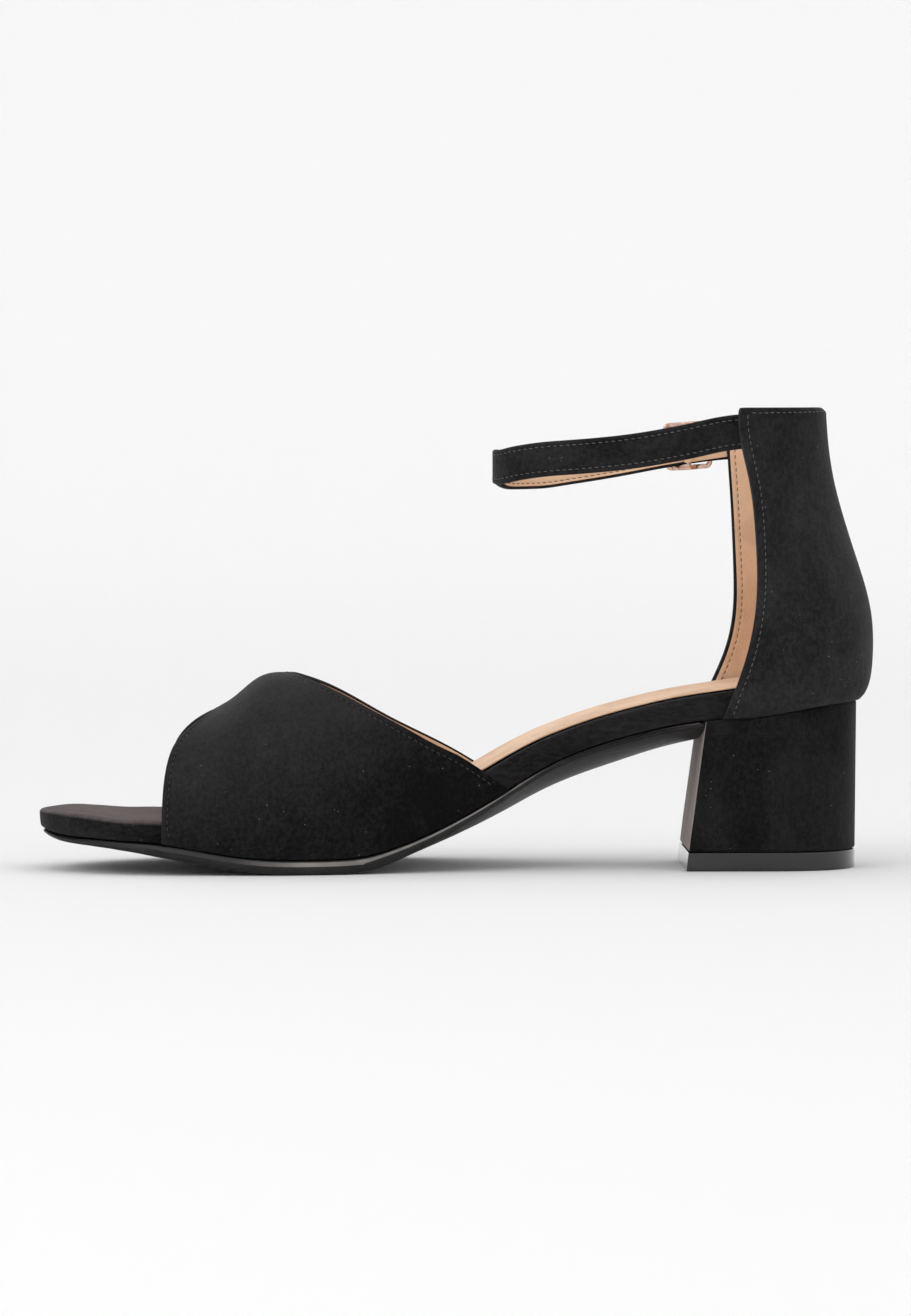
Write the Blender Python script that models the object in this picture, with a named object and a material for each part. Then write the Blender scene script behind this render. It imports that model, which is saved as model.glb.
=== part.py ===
"""Block heel sandal, right shoe, standing empty.

Toe towards -X, inner side of the foot towards -Y, up is +Z, metres.
The origin is the centre of the heel lift's bottom face, on the floor.
"""
import math
from collections import namedtuple

import bmesh
import bpy
from mathutils import Matrix, Vector

# Footbed and sole
FOOTBED_LENGTH = 0.2396
BALL_WIDTH = 0.0740
FOOTBED_THICKNESS = 0.0076
FOOTBED_DISH = 0.0014
FOOTBED_ROUND = 0.0024
TOE_SPRING = 0.0078
TOE_TIP_SHIFT = -0.0050
OUTSOLE_THICKNESS = 0.0041
SOLE_BEVEL_WIDTH = 0.0011
SOLE_BEVEL_DROP = 0.0016
SOLE_EDGE_RADIUS = 0.0007
SOLE_BEVEL_SHARE = 0.40
SOLE_LIP_SHARE = 0.25
HEEL_RISE = 0.0443
SOCK_THICKNESS = 0.0008
SOCK_MARGIN = 0.0030
SOCK_START = 0.27
CLEARANCE = 0.0003

# Heel
HEEL_BOTTOM_LENGTH = 0.0503
HEEL_BOTTOM_WIDTH = 0.0480
HEEL_BACK_OVERHANG = 0.0029
HEEL_TOP_INSET = 0.0009
BREAST_LEAN = 0.132
LIFT_THICKNESS = 0.0054

# Upper
VAMP_WALL = 0.0016
VAMP_HEIGHT = 0.0524
CROWN_SHIFT = -0.0040
QUARTER_WALL = 0.0022
QUARTER_INNER_TOP = 0.1332
QUARTER_OUTER_TOP = 0.1285
QUARTER_LEAN = 0.0139
SEAT_TUCK = 0.0041
TOP_DROP_START = 0.40
ANKLE_WIDTH = 0.0500

# Ankle strap and buckle
STRAP_WIDTH = 0.0100
STRAP_THICKNESS = 0.0022
STRAP_CHAMFER = 0.0005
STRAP_REACH = 0.0823
STRAP_FRONT_DROP = 0.0176
STRAP_RISE = 0.0106
STRAP_TUCKED_LENGTH = 0.0090
STRAP_TAIL_LENGTH = 0.0250
STRAP_POINT_LENGTH = 0.0060
STRAP_POINT_SHARE = 0.35
BUCKLE_STATION = 0.7905
BUCKLE_LENGTH = 0.0140
BUCKLE_RAIL = 0.0008
BUCKLE_CORNER = 0.0022
BAR_RADIUS = 0.0007
BAR_LIFT = 0.0015
PRONG_RADIUS = 0.0005
HOLE_FRONT = -0.0031
HOLE_BACK = 0.0010
HOLE_HALF = 0.0009
TAB_LEAF = 0.0006
TAB_HEIGHT = 0.0090
TAB_LEVEL = 0.95

# Where the heel's breast meets the sole, the sole's waist, and where the wrap tucks in.
BREAST_STATION = 0.80
WAIST_STATION = 0.48
TUCK_START = 0.74
TUCK_FULL = 0.82
TUCK_BEFORE_SEAT = 0.15

HEEL_POWER = 2.2
HEEL_DEPTH = 0.12
TOE_POWER = 2.1
ARCH_POWER_INNER = 2.5
ARCH_POWER_OUTER = 2.1
INNER, OUTER = -1, 1

Plan = namedtuple("Plan", "along inner outer")
# Half widths of the footbed before its toe and heel are rounded, as shares of BALL_WIDTH.
PLAN = [
    Plan(0.00, 0.430, 0.380), Plan(0.10, 0.462, 0.450), Plan(0.20, 0.478, 0.490),
    Plan(0.30, 0.470, 0.512), Plan(0.38, 0.420, 0.515), Plan(0.50, 0.320, 0.440),
    Plan(0.60, 0.280, 0.370), Plan(0.70, 0.300, 0.335), Plan(0.80, 0.335, 0.340),
    Plan(0.90, 0.360, 0.360), Plan(1.00, 0.360, 0.360),
]
TOE_DEPTH = {INNER: 0.13, OUTER: 0.20}

Level = namedtuple("Level", "along spring rise footbed")
# Height of the footbed's underside as shares of TOE_SPRING and HEEL_RISE, and its thickness.
LEVELS = [
    Level(0.00, 1.050, 0.000, 0.72), Level(0.03, 0.825, 0.000, 0.93),
    Level(0.06, 0.765, 0.000, 0.90), Level(0.10, 0.680, 0.000, 0.83),
    Level(0.15, 0.580, 0.000, 0.90), Level(0.20, 0.330, 0.000, 0.86),
    Level(0.25, 0.080, 0.000, 0.82), Level(0.29, 0.000, 0.000, 0.83),
    Level(0.38, 0.000, 0.000, 0.85), Level(0.40, 0.000, 0.016, 0.88),
    Level(0.44, 0.000, 0.090, 1.00), Level(0.48, 0.000, 0.176, 1.10),
    Level(0.52, 0.000, 0.291, 1.18), Level(0.56, 0.000, 0.411, 1.25),
    Level(0.60, 0.000, 0.553, 1.12), Level(0.64, 0.000, 0.659, 1.01),
    Level(0.68, 0.000, 0.736, 1.00), Level(0.72, 0.000, 0.797, 0.98),
    Level(0.76, 0.000, 0.849, 0.98), Level(0.80, 0.000, 0.880, 1.01),
    Level(0.85, 0.000, 0.896, 1.15), Level(0.90, 0.000, 0.935, 1.20),
    Level(0.95, 0.000, 0.977, 1.22), Level(1.00, 0.000, 1.000, 1.24),
]

Sole = namedtuple("Sole", "along middle side reach")
# Outsole thickness at its middle and side, and how far its edge stands past the footbed, in
# widths of the welt that the vamp stands on.
SOLE = [
    Sole(0.000, 0.32, 0.32, -0.40), Sole(0.030, 0.45, 0.45, -0.30), Sole(0.060, 0.50, 0.50, -0.12),
    Sole(0.100, 0.58, 0.58, 0.15), Sole(0.125, 0.68, 0.68, 0.50), Sole(0.150, 0.87, 0.87, 0.90),
    Sole(0.175, 0.90, 0.90, 1.00), Sole(0.250, 0.92, 0.92, 1.00), Sole(0.290, 1.00, 1.00, 1.00),
    Sole(0.380, 1.00, 1.00, 1.00), Sole(0.440, 1.15, 0.85, 1.00), Sole(0.500, 1.48, 0.65, 1.00),
    Sole(0.550, 1.76, 0.54, 0.95), Sole(0.590, 1.98, 0.50, -0.10), Sole(0.640, 2.15, 0.48, -0.40),
    Sole(0.680, 2.15, 0.48, -0.45), Sole(0.740, 1.90, 0.48, -0.60), Sole(0.810, 1.55, 0.48, -0.90),
]

Crown = namedtuple("Crown", "along height")
# The vamp's ridge line, as shares of VAMP_HEIGHT above the tread.
CROWN = [
    Crown(0.140, 0.725), Crown(0.185, 0.773), Crown(0.2095, 0.787), Crown(0.218, 0.812),
    Crown(0.2305, 0.843), Crown(0.243, 0.890), Crown(0.2545, 0.936), Crown(0.266, 0.974),
    Crown(0.278, 0.994), Crown(0.290, 1.000), Crown(0.304, 1.000), Crown(0.348, 1.030),
    Crown(0.377, 1.060), Crown(0.420, 1.120), Crown(0.461, 1.195), Crown(0.507, 1.290),
    Crown(0.570, 1.460),
]

Edge = namedtuple("Edge", "girth front inner outer")
# The vamp's toe edge and its topline on either side, by the share of the way up its arch.
VAMP_EDGES = [
    Edge(0.000, 0.1505, 0.5370, 0.5340), Edge(0.167, 0.1525, 0.4775, 0.4870),
    Edge(0.333, 0.1565, 0.4310, 0.4360), Edge(0.500, 0.1640, 0.3880, 0.3920),
    Edge(0.667, 0.1810, 0.3500, 0.3520), Edge(0.833, 0.2000, 0.3200, 0.3200),
    Edge(1.000, 0.2120, 0.3040, 0.3040),
]
VAMP_FOOT_BACK = 0.567

Back = namedtuple("Back", "height ankle lean tuck depth inner outer")
# The quarter from the seat (0) to its top edge (1): blend from seat to ankle width, lean and
# tuck of the back line, distance from the back to the widest point, and its two front edges.
QUARTER = [
    Back(0.000, 0.00, 0.000, 1.00, 0.120, 0.8204, 0.8035),
    Back(0.020, 0.00, 0.000, 0.60, 0.120, 0.8245, 0.8060),
    Back(0.050, 0.00, 0.000, 0.30, 0.120, 0.8285, 0.8115),
    Back(0.100, 0.00, 0.000, 0.10, 0.120, 0.8360, 0.8190),
    Back(0.200, -0.08, 0.000, 0.00, 0.122, 0.8490, 0.8365),
    Back(0.300, 0.05, 0.037, 0.00, 0.126, 0.8575, 0.8456),
    Back(0.400, 0.42, 0.190, 0.00, 0.133, 0.8620, 0.8478),
    Back(0.500, 0.80, 0.390, 0.00, 0.141, 0.8627, 0.8467),
    Back(0.600, 1.05, 0.585, 0.00, 0.151, 0.8615, 0.8455),
    Back(0.700, 1.17, 0.763, 0.00, 0.162, 0.8590, 0.8442),
    Back(0.780, 1.20, 0.872, 0.00, 0.171, 0.8540, 0.8425),
    Back(0.860, 1.15, 0.945, 0.00, 0.180, 0.8464, 0.8405),
    Back(0.930, 1.08, 0.982, 0.00, 0.188, 0.8420, 0.8392),
    Back(0.985, 1.02, 1.000, 0.00, 0.194, 0.8415, 0.8390),
    Back(1.000, 0.98, 1.090, 0.00, 0.195, 0.8440, 0.8415),
]

Rise = namedtuple("Rise", "along inner outer")
# Height of the strap's middle above its front, as shares of STRAP_RISE.
STRAP = [
    Rise(0.5526, 0.030, 0.030), Rise(0.5700, 0.140, -0.140), Rise(0.6080, 0.265, -0.130),
    Rise(0.6415, 0.320, -0.030), Rise(0.6830, 0.400, 0.110), Rise(0.7170, 0.490, 0.245),
    Rise(0.7500, 0.610, 0.390), Rise(0.7840, 0.755, 0.520), Rise(0.8175, 0.920, 0.630),
    Rise(0.8426, 1.000, 0.680), Rise(0.9100, 1.060, 0.690),
]
STRAP_LEVEL = 0.92

# The prong's arm as shares of the way to the front rail and of its height over the eye.
PRONG_PATH = [(0.0, 0.0), (0.10, 0.14), (0.21, 0.42), (0.36, 0.74), (0.58, 0.93), (0.80, 1.0),
              (1.0, 1.0), (1.14, 0.98)]

STATIONS = 44
SOCK_STATIONS = 30
BACK_STATIONS = 13
HEEL_RINGS = 4
ARCH_STEPS = 12
VAMP_STEPS = 11
STRAP_STEPS = 56
TAB_STEPS = 14
TAB_RUNS = 5
TAB_PROBES = 60
TUBE_SIDES = 8
HOLE_SIDES = 12
EYE_STEPS = 16
CORNER_STEPS = 6
# Steps in share or turn over which a direction is read.
DIRECTION_STEP = 0.004
BUCKLE_STEP = 0.02
PROBE_STEP = 0.002
WELT_WIDTH = VAMP_WALL + 2 * CLEARANCE + SOLE_BEVEL_WIDTH
LEVEL_BASE = OUTSOLE_THICKNESS + CLEARANCE
FOOTBED_BACK = HEEL_BOTTOM_LENGTH / 2 + HEEL_BACK_OVERHANG
TOE_X = FOOTBED_BACK - FOOTBED_LENGTH
QUARTER_BACK = FOOTBED_BACK + CLEARANCE + QUARTER_WALL
STRAP_FRONT_HEIGHT = QUARTER_INNER_TOP - STRAP_FRONT_DROP
BUCKLE_HEIGHT = STRAP_WIDTH + 2 * (CLEARANCE + 2 * BUCKLE_RAIL)
LOOP_RADIUS = BAR_RADIUS + CLEARANCE + TAB_LEAF
EYE_RADIUS = BAR_RADIUS + CLEARANCE + PRONG_RADIUS
FRAME_LEVEL = STRAP_THICKNESS / 2 + CLEARANCE + BUCKLE_RAIL
BAR_LEVEL = BAR_LIFT - STRAP_THICKNESS / 2 - CLEARANCE - LOOP_RADIUS


def curve(rows, column):
    """A smooth curve through one named column of a table, over its first column."""
    keys = [row[0] for row in rows]
    values = [getattr(row, column) for row in rows]
    steps = [(values[i + 1] - values[i]) / (keys[i + 1] - keys[i]) for i in range(len(keys) - 1)]
    slopes = [steps[0]]
    for before, after in zip(steps, steps[1:]):
        same_way = before * after > 0
        slopes.append(2 * before * after / (before + after) if same_way else 0.0)
    slopes.append(steps[-1])

    def read(key):
        if key <= keys[0]:
            return values[0]
        if key >= keys[-1]:
            return values[-1]
        i = max(k for k in range(len(keys) - 1) if keys[k] <= key)
        span = keys[i + 1] - keys[i]
        t = (key - keys[i]) / span
        return (values[i] * (1 + 2 * t) * (1 - t) ** 2 + slopes[i] * span * t * (1 - t) ** 2
                + values[i + 1] * t * t * (3 - 2 * t) + slopes[i + 1] * span * t * t * (t - 1))
    return read


plan_half = {INNER: curve(PLAN, "inner"), OUTER: curve(PLAN, "outer")}
spring, rise, footbed_share = (curve(LEVELS, name) for name in ("spring", "rise", "footbed"))
sole_middle, sole_side, sole_reach = (curve(SOLE, name) for name in ("middle", "side", "reach"))
crown_share = curve(CROWN, "height")
vamp_front = curve(VAMP_EDGES, "front")
vamp_back = {INNER: curve(VAMP_EDGES, "inner"), OUTER: curve(VAMP_EDGES, "outer")}
back_ankle, back_lean, back_tuck, back_depth = (
    curve(QUARTER, name) for name in ("ankle", "lean", "tuck", "depth"))
quarter_front = {INNER: curve(QUARTER, "inner"), OUTER: curve(QUARTER, "outer")}
strap_share = {INNER: curve(STRAP, "inner"), OUTER: curve(STRAP, "outer")}


def place(along):
    return TOE_X + along * FOOTBED_LENGTH


def along_of(x):
    return (x - TOE_X) / FOOTBED_LENGTH


def ease(low, high, value):
    t = min(1.0, max(0.0, (value - low) / (high - low)))
    return t * t * (3 - 2 * t)


def rounding(distance, depth, power):
    """1 along the side, falling to 0 at a rounded end."""
    if distance >= depth:
        return 1.0
    return (1 - (1 - max(0.0, distance) / depth) ** power) ** (1 / power)


def footbed_edge(along, side):
    """Y of the footbed's edge."""
    tip = TOE_TIP_SHIFT * (1 - ease(0.0, 0.2, along))
    half = plan_half[side](along) * BALL_WIDTH
    toe = rounding(along, TOE_DEPTH[side], TOE_POWER)
    heel = rounding(1 - along, HEEL_DEPTH, HEEL_POWER)
    return (tip + (side * half - tip) * toe) * heel


def underside(along):
    """Height of the footbed's underside above the floor."""
    return LEVEL_BASE + spring(along) * TOE_SPRING + rise(along) * HEEL_RISE


def footbed_top(along, across=1.0):
    """Height of the footbed's top, lower towards the middle (across 0)."""
    dish = FOOTBED_DISH * (1 - across * across)
    return underside(along) + footbed_share(along) * FOOTBED_THICKNESS - dish


def seat_tuck(along, height):
    """How far the wrapped side pulls in near its lower edge, full only round the seat."""
    share = back_tuck(height / (QUARTER_INNER_TOP - LEVEL_BASE - HEEL_RISE))
    seat = ease(TUCK_START, TUCK_FULL, along)
    return share * SEAT_TUCK * (TUCK_BEFORE_SEAT + (1 - TUCK_BEFORE_SEAT) * seat) + CLEARANCE * seat


def stations(first, last, count, round_first, round_last):
    """Shares between first and last, closer together at a rounded end."""
    shares = []
    for i in range(count + 1):
        t = i / count
        if round_first and round_last:
            t = (1 - math.cos(math.pi * t)) / 2
        elif round_first:
            t = 1 - math.cos(math.pi * t / 2)
        elif round_last:
            t = math.sin(math.pi * t / 2)
        shares.append(first + (last - first) * t)
    return shares


def offset_outline(shares, side, edge, offset):
    """Plan points of an edge, moved outwards square to the edge; offset is read per share."""
    points = [Vector((place(a), edge(a, side))) for a in shares]
    moved = []
    for i, point in enumerate(points):
        before, after = points[max(i - 1, 0)], points[min(i + 1, len(points) - 1)]
        tangent = (after - before).normalized()
        normal = Vector((-tangent.y, tangent.x)) * side
        closed_toe = i == 0 and abs(edge(shares[0], INNER) - edge(shares[0], OUTER)) < 1e-6
        closed_heel = (i == len(points) - 1
                       and abs(edge(shares[-1], INNER) - edge(shares[-1], OUTER)) < 1e-6)
        if closed_toe:
            normal = Vector((-1, 0))
        if closed_heel:
            normal = Vector((1, 0))
        moved.append(point + normal * offset(shares[i]))
    return moved


def material(name, colour, roughness, metallic=0.0):
    finish = bpy.data.materials.new(name)
    finish.use_nodes = True
    shader = finish.node_tree.nodes["Principled BSDF"]
    shader.inputs["Base Color"].default_value = (*colour, 1)
    shader.inputs["Roughness"].default_value = roughness
    shader.inputs["Metallic"].default_value = metallic
    return finish


def add_object(name, mesh_maker, finish, smooth_angle=40):
    """One closed body, its doubles merged and its faces turned outwards."""
    bm = bmesh.new()
    mesh_maker(bm)
    bmesh.ops.remove_doubles(bm, verts=bm.verts, dist=0.00001)
    bmesh.ops.dissolve_degenerate(bm, dist=0.000005, edges=bm.edges)
    bmesh.ops.recalc_face_normals(bm, faces=bm.faces)
    if bm.calc_volume(signed=True) < 0:
        bmesh.ops.reverse_faces(bm, faces=bm.faces)
    mesh = bpy.data.meshes.new(name)
    bm.to_mesh(mesh)
    bm.free()
    mesh.shade_smooth()
    mesh.set_sharp_from_angle(angle=math.radians(smooth_angle))
    mesh.materials.append(finish)
    thing = bpy.data.objects.new(name, mesh)
    bpy.context.collection.objects.link(thing)
    return thing


def loft(bm, sections, cap_first, cap_last, closed_path=False):
    """Skin between closed sections that have the same number of points."""
    rings = [[bm.verts.new(point) for point in section] for section in sections]
    pairs = list(zip(rings, rings[1:]))
    if closed_path:
        pairs.append((rings[-1], rings[0]))
    count = len(rings[0])
    for low, high in pairs:
        for i in range(count):
            j = (i + 1) % count
            bm.faces.new((low[i], low[j], high[j], high[i]))
    if cap_first:
        bm.faces.new(list(reversed(rings[0])))
    if cap_last:
        bm.faces.new(rings[-1])


def wall_between(bm, outer, inner):
    """A closed wall from two grids of points of the same size."""
    skins = [[[bm.verts.new(point) for point in row] for row in grid] for grid in (outer, inner)]
    rows, columns = len(outer), len(outer[0])
    for skin in skins:
        for i in range(rows - 1):
            for j in range(columns - 1):
                bm.faces.new((skin[i][j], skin[i][j + 1], skin[i + 1][j + 1], skin[i + 1][j]))
    first, second = skins
    for i in range(rows - 1):
        for j in (0, columns - 1):
            bm.faces.new((first[i][j], first[i + 1][j], second[i + 1][j], second[i][j]))
    for j in range(columns - 1):
        for i in (0, rows - 1):
            bm.faces.new((first[i][j], first[i][j + 1], second[i][j + 1], second[i][j]))


def dish_width(inner, outer):
    """How much of the dish there is room for between two edge points, from 0 to 1."""
    return min(1.0, (outer - inner).length / (BALL_WIDTH / 2))


def footbed(bm):
    shares = stations(0, 1, STATIONS, True, True)
    # Rings from the lower edge to the top: share of the thickness and inset.
    rings = [(0.0, 0.0), (0.22, 0.0), (0.5, 0.0), (0.78, 0.0), (0.93, FOOTBED_ROUND / 3),
             (1.0, FOOTBED_ROUND)]

    def ring_offset(level, inset):
        def offset(along):
            height = level * footbed_share(along) * FOOTBED_THICKNESS
            return -inset - seat_tuck(along, height)
        return offset

    sides = {side: [offset_outline(shares, side, footbed_edge, ring_offset(*ring)) for ring in rings]
             for side in (INNER, OUTER)}
    sections = []
    for k, along in enumerate(shares):
        thick = footbed_share(along) * FOOTBED_THICKNESS
        inner, outer = (
            [Vector((*side[r][k], underside(along_of(side[r][k].x)) + rings[r][0] * thick))
             for r in range(len(rings))]
            for side in (sides[INNER], sides[OUTER]))
        top = []
        for share in (0.25, 0.5, 0.75):
            point = inner[-1].lerp(outer[-1], share)
            across = abs(1 - 2 * share)
            width = dish_width(inner[-1], outer[-1])
            point.z -= FOOTBED_DISH * (1 - across * across) * width
            top.append(point)
        sections.append(inner + top + list(reversed(outer)))
    loft(bm, sections, False, False)


def breast_x(height):
    """The heel's front face, leaning forward towards the floor."""
    return -HEEL_BOTTOM_LENGTH / 2 + BREAST_LEAN * height


def outsole(bm):
    last = along_of(breast_x(underside(BREAST_STATION)) - CLEARANCE)
    step = 1 / STATIONS
    shares = [a for a in stations(0, 1, STATIONS, True, True) if a < last - step / 2] + [last]

    def standing_out(inset):
        return lambda along: sole_reach(along) * WELT_WIDTH - inset

    insets = (SOLE_EDGE_RADIUS, 0.0, 0.0, SOLE_BEVEL_WIDTH)
    outlines = {side: [offset_outline(shares, side, footbed_edge, standing_out(inset))
                       for inset in insets]
                for side in (INNER, OUTER)}
    sections = []
    for k, along in enumerate(shares):
        top = underside(along) - CLEARANCE
        middle = sole_middle(along) * OUTSOLE_THICKNESS
        side_depth = sole_side(along) * OUTSOLE_THICKNESS
        bevel = min(SOLE_BEVEL_DROP, SOLE_BEVEL_SHARE * side_depth)
        lip = min(SOLE_EDGE_RADIUS, SOLE_LIP_SHARE * side_depth)
        drops = (side_depth, side_depth - lip, bevel, 0.0)
        inner, outer = (
            [Vector((*side[r][k], underside(along_of(side[r][k].x)) - CLEARANCE - drops[r]))
             for r in range(4)]
            for side in (outlines[INNER], outlines[OUTER]))
        belly = []
        for share in (0.8, 0.5, 0.2):
            point = inner[0].lerp(outer[0], share)
            across = abs(1 - 2 * share)
            point.z -= (middle - side_depth) * (1 - across ** 2)
            belly.append(point)
        section = inner + [inner[-1].lerp(outer[-1], 0.5)] + list(reversed(outer)) + belly
        lean = BREAST_LEAN * ease(WAIST_STATION, last, along)
        for point in section:
            if along == last:
                point.x = place(last)
            point.x += lean * (point.z - top)
        sections.append(section)
    loft(bm, sections, False, True)


def insole_sock(bm):
    shares = stations(SOCK_START, 1, SOCK_STATIONS, False, True)
    outlines = {side: offset_outline(shares, side, footbed_edge, lambda along: -SOCK_MARGIN)
                for side in (INNER, OUTER)}
    sections = []
    for k, along in enumerate(shares):
        inner, outer = outlines[INNER][k], outlines[OUTER][k]
        low, high = [], []
        for share in (0.0, 0.25, 0.5, 0.75, 1.0):
            point = inner.lerp(outer, share)
            width = dish_width(inner, outer)
            across = abs(1 - 2 * share)
            base = footbed_top(along) + CLEARANCE - FOOTBED_DISH * (1 - across * across) * width
            low.append(Vector((*point, base)))
            high.append(Vector((*point, base + SOCK_THICKNESS)))
        sections.append(low + list(reversed(high)))
    loft(bm, sections, True, False)


def arch_point(along, side, climb):
    """A point of the vamp's outer face; climb is 0 at the footbed's rim and 1 on the ridge."""
    step = DIRECTION_STEP
    widening = footbed_edge(along + step, side) - footbed_edge(along - step, side)
    slope = widening / (2 * step * FOOTBED_LENGTH)
    reach = (CLEARANCE + VAMP_WALL) * math.sqrt(1 + slope * slope)
    base_y = footbed_edge(along, side) + side * reach
    low = footbed_top(along)
    top = LEVEL_BASE + crown_share(along) * VAMP_HEIGHT
    power = ARCH_POWER_INNER if side == INNER else ARCH_POWER_OUTER
    angle = climb * math.pi / 2
    y = CROWN_SHIFT + (base_y - CROWN_SHIFT) * max(0.0, math.cos(angle)) ** (2 / power)
    return Vector((place(along), y, low + (top - low) * math.sin(angle) ** (2 / power)))


def vamp_girth():
    """Steps round the vamp from the inner sole edge to the outer one."""
    climbs = [i / ARCH_STEPS for i in range(ARCH_STEPS + 1)]
    inner = [(INNER, None)] + [(INNER, climb) for climb in climbs]
    outer = [(OUTER, climb) for climb in reversed(climbs[:-1])] + [(OUTER, None)]
    return inner + outer


def vamp(bm):
    grid = []
    for side, climb in vamp_girth():
        front = vamp_front(climb or 0.0)
        back = vamp_back[side](climb) if climb is not None else VAMP_FOOT_BACK
        row = []
        for i in range(VAMP_STEPS + 1):
            along = front + (back - front) * i / VAMP_STEPS
            point = arch_point(along, side, climb or 0.0)
            if climb is None:
                point.z = underside(along)
            row.append(point)
        grid.append(row)
    inner = []
    for r, row in enumerate(grid):
        below, above = grid[max(r - 1, 0)], grid[min(r + 1, len(grid) - 1)]
        line = []
        for c, point in enumerate(row):
            run = row[min(c + 1, len(row) - 1)] - row[max(c - 1, 0)]
            normal = run.cross(above[c] - below[c]).normalized()
            line.append(point - normal * VAMP_WALL)
        if r in (0, len(grid) - 1):
            for point, outside in zip(line, row):
                point.z = outside.z
        inner.append(line)
    wall_between(bm, grid, inner)


def quarter_section(height, side, x):
    """Half width of the quarter's outer face at a height share."""
    seat = plan_half[side](along_of(min(x, FOOTBED_BACK))) * BALL_WIDTH + CLEARANCE + QUARTER_WALL
    blend = back_ankle(height)
    half = seat * (1 - blend) + ANKLE_WIDTH / 2 * blend - back_tuck(height) * SEAT_TUCK
    end = quarter_end(height)
    return half * rounding(end - x, back_depth(height) * FOOTBED_LENGTH, HEEL_POWER)


def quarter_end(height):
    """X of the quarter's back line at a height share."""
    return QUARTER_BACK - back_lean(height) * QUARTER_LEAN - back_tuck(height) * SEAT_TUCK


def quarter_ring(height, inset=0.0):
    """Plan points from the inner front edge round the back to the outer front edge."""
    end = quarter_end(height)
    ring = []
    steps = [-(1 - i / BACK_STATIONS) for i in range(BACK_STATIONS)]
    for q in steps + [0.0] + [-s for s in reversed(steps)]:
        side = INNER if q < 0 else OUTER
        front = place(quarter_front[side](height))
        x = end - (end - front) * q * q
        ring.append(Vector((x, side * quarter_section(height, side, x))))
    return inset_ring(ring, inset)


def inset_ring(ring, inset):
    moved = []
    for i, point in enumerate(ring):
        tangent = ring[min(i + 1, len(ring) - 1)] - ring[max(i - 1, 0)]
        normal = Vector((-tangent.y, tangent.x)).normalized()
        moved.append(point + normal * inset)
    return moved


def quarter_height(height, q, x):
    top = QUARTER_INNER_TOP + (QUARTER_OUTER_TOP - QUARTER_INNER_TOP) * q
    low = underside(along_of(x))
    return low + height * (top - low)


def quarter(bm):
    heights = [row.height for row in QUARTER]
    skins = []
    for inset in (0.0, QUARTER_WALL):
        grid = []
        for height in heights:
            outline = quarter_ring(height)
            ring = inset_ring(outline, inset)
            row = []
            for i, point in enumerate(ring):
                q = ease(TOP_DROP_START, 1.0, i / (len(ring) - 1))
                row.append(Vector((*point, quarter_height(height, q, outline[i].x))))
            grid.append(row)
        skins.append(grid)
    wall_between(bm, *skins)


def heel_ring(level):
    """Plan points of the heel, 0 at the floor and 1 at the seat, closed across the breast."""
    front_half = HEEL_BOTTOM_WIDTH / 2
    end = HEEL_BOTTOM_LENGTH / 2
    front = -end
    ring = []
    count = 2 * BACK_STATIONS + 1
    for i in range(count):
        q = 2 * i / (count - 1) - 1
        side = INNER if q < 0 else OUTER
        low_x = end - (end - front) * q * q
        low_y = side * front_half * rounding(end - low_x, HEEL_BOTTOM_WIDTH / 2, HEEL_POWER)
        high_end = quarter_end(0.0) - HEEL_TOP_INSET
        high_front = breast_x(underside(BREAST_STATION))
        high_x = high_end - (high_end - high_front) * q * q
        high_y = side * (quarter_section(0.0, side, high_x + HEEL_TOP_INSET) - HEEL_TOP_INSET)
        ring.append(Vector((low_x + (high_x - low_x) * level, low_y + (high_y - low_y) * level)))
    return ring


def block(bm, levels, heights):
    """A stack of heel rings with flat strips across its underside and top."""
    rings = []
    for level, height in zip(levels, heights):
        ring = heel_ring(level)
        rings.append([bm.verts.new((p.x, p.y, height(p.x))) for p in ring])
    count = len(rings[0])
    for low, high in zip(rings, rings[1:]):
        for i in range(count):
            j = (i + 1) % count
            bm.faces.new((low[i], low[j], high[j], high[i]))
    bm.faces.new(list(reversed(rings[0])))
    top = rings[-1]
    for i in range(count // 2):
        corners = [top[i], top[i + 1], top[count - 2 - i], top[count - 1 - i]]
        bm.faces.new(list(dict.fromkeys(corners)))


def heel_block(bm):
    base = LIFT_THICKNESS + CLEARANCE
    full = HEEL_RISE + LEVEL_BASE
    levels, heights = [], []
    for i in range(HEEL_RINGS + 1):
        share = i / HEEL_RINGS

        def height(x, share=share):
            top = underside(along_of(x)) - CLEARANCE
            return base + (top - base) * share
        levels.append((base + (full - base) * share) / full)
        heights.append(height)
    block(bm, levels, heights)


def heel_lift(bm):
    full = HEEL_RISE + LEVEL_BASE
    heights = (0.0, LIFT_THICKNESS)
    block(bm, [h / full for h in heights], [lambda x, h=h: h for h in heights])


def ankle_point(turn):
    """Plan point of the ankle's oval; turn runs from -1, at the back, round the inner side to
    0 at the front and by the outer side to 1."""
    side = INNER if turn < 0 else OUTER
    end = quarter_end(STRAP_LEVEL)
    depth = back_depth(STRAP_LEVEL) * FOOTBED_LENGTH
    widest = end - depth
    reach = widest + STRAP_REACH - STRAP_THICKNESS
    angle = abs(turn) * math.pi
    power = 2 / HEEL_POWER
    half = quarter_section(STRAP_LEVEL, side, widest)
    x = widest - (reach if angle < math.pi / 2 else -depth) * abs(math.cos(angle)) ** power
    return Vector((x, side * half * abs(math.sin(angle)) ** power))


def turn_at(x, side):
    """The turn at which the ankle's oval passes a place along the shoe."""
    low, high = 0.0, 1.0
    for _ in range(40):
        middle = (low + high) / 2
        if ankle_point(side * middle).x < x:
            low = middle
        else:
            high = middle
    return side * low


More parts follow.
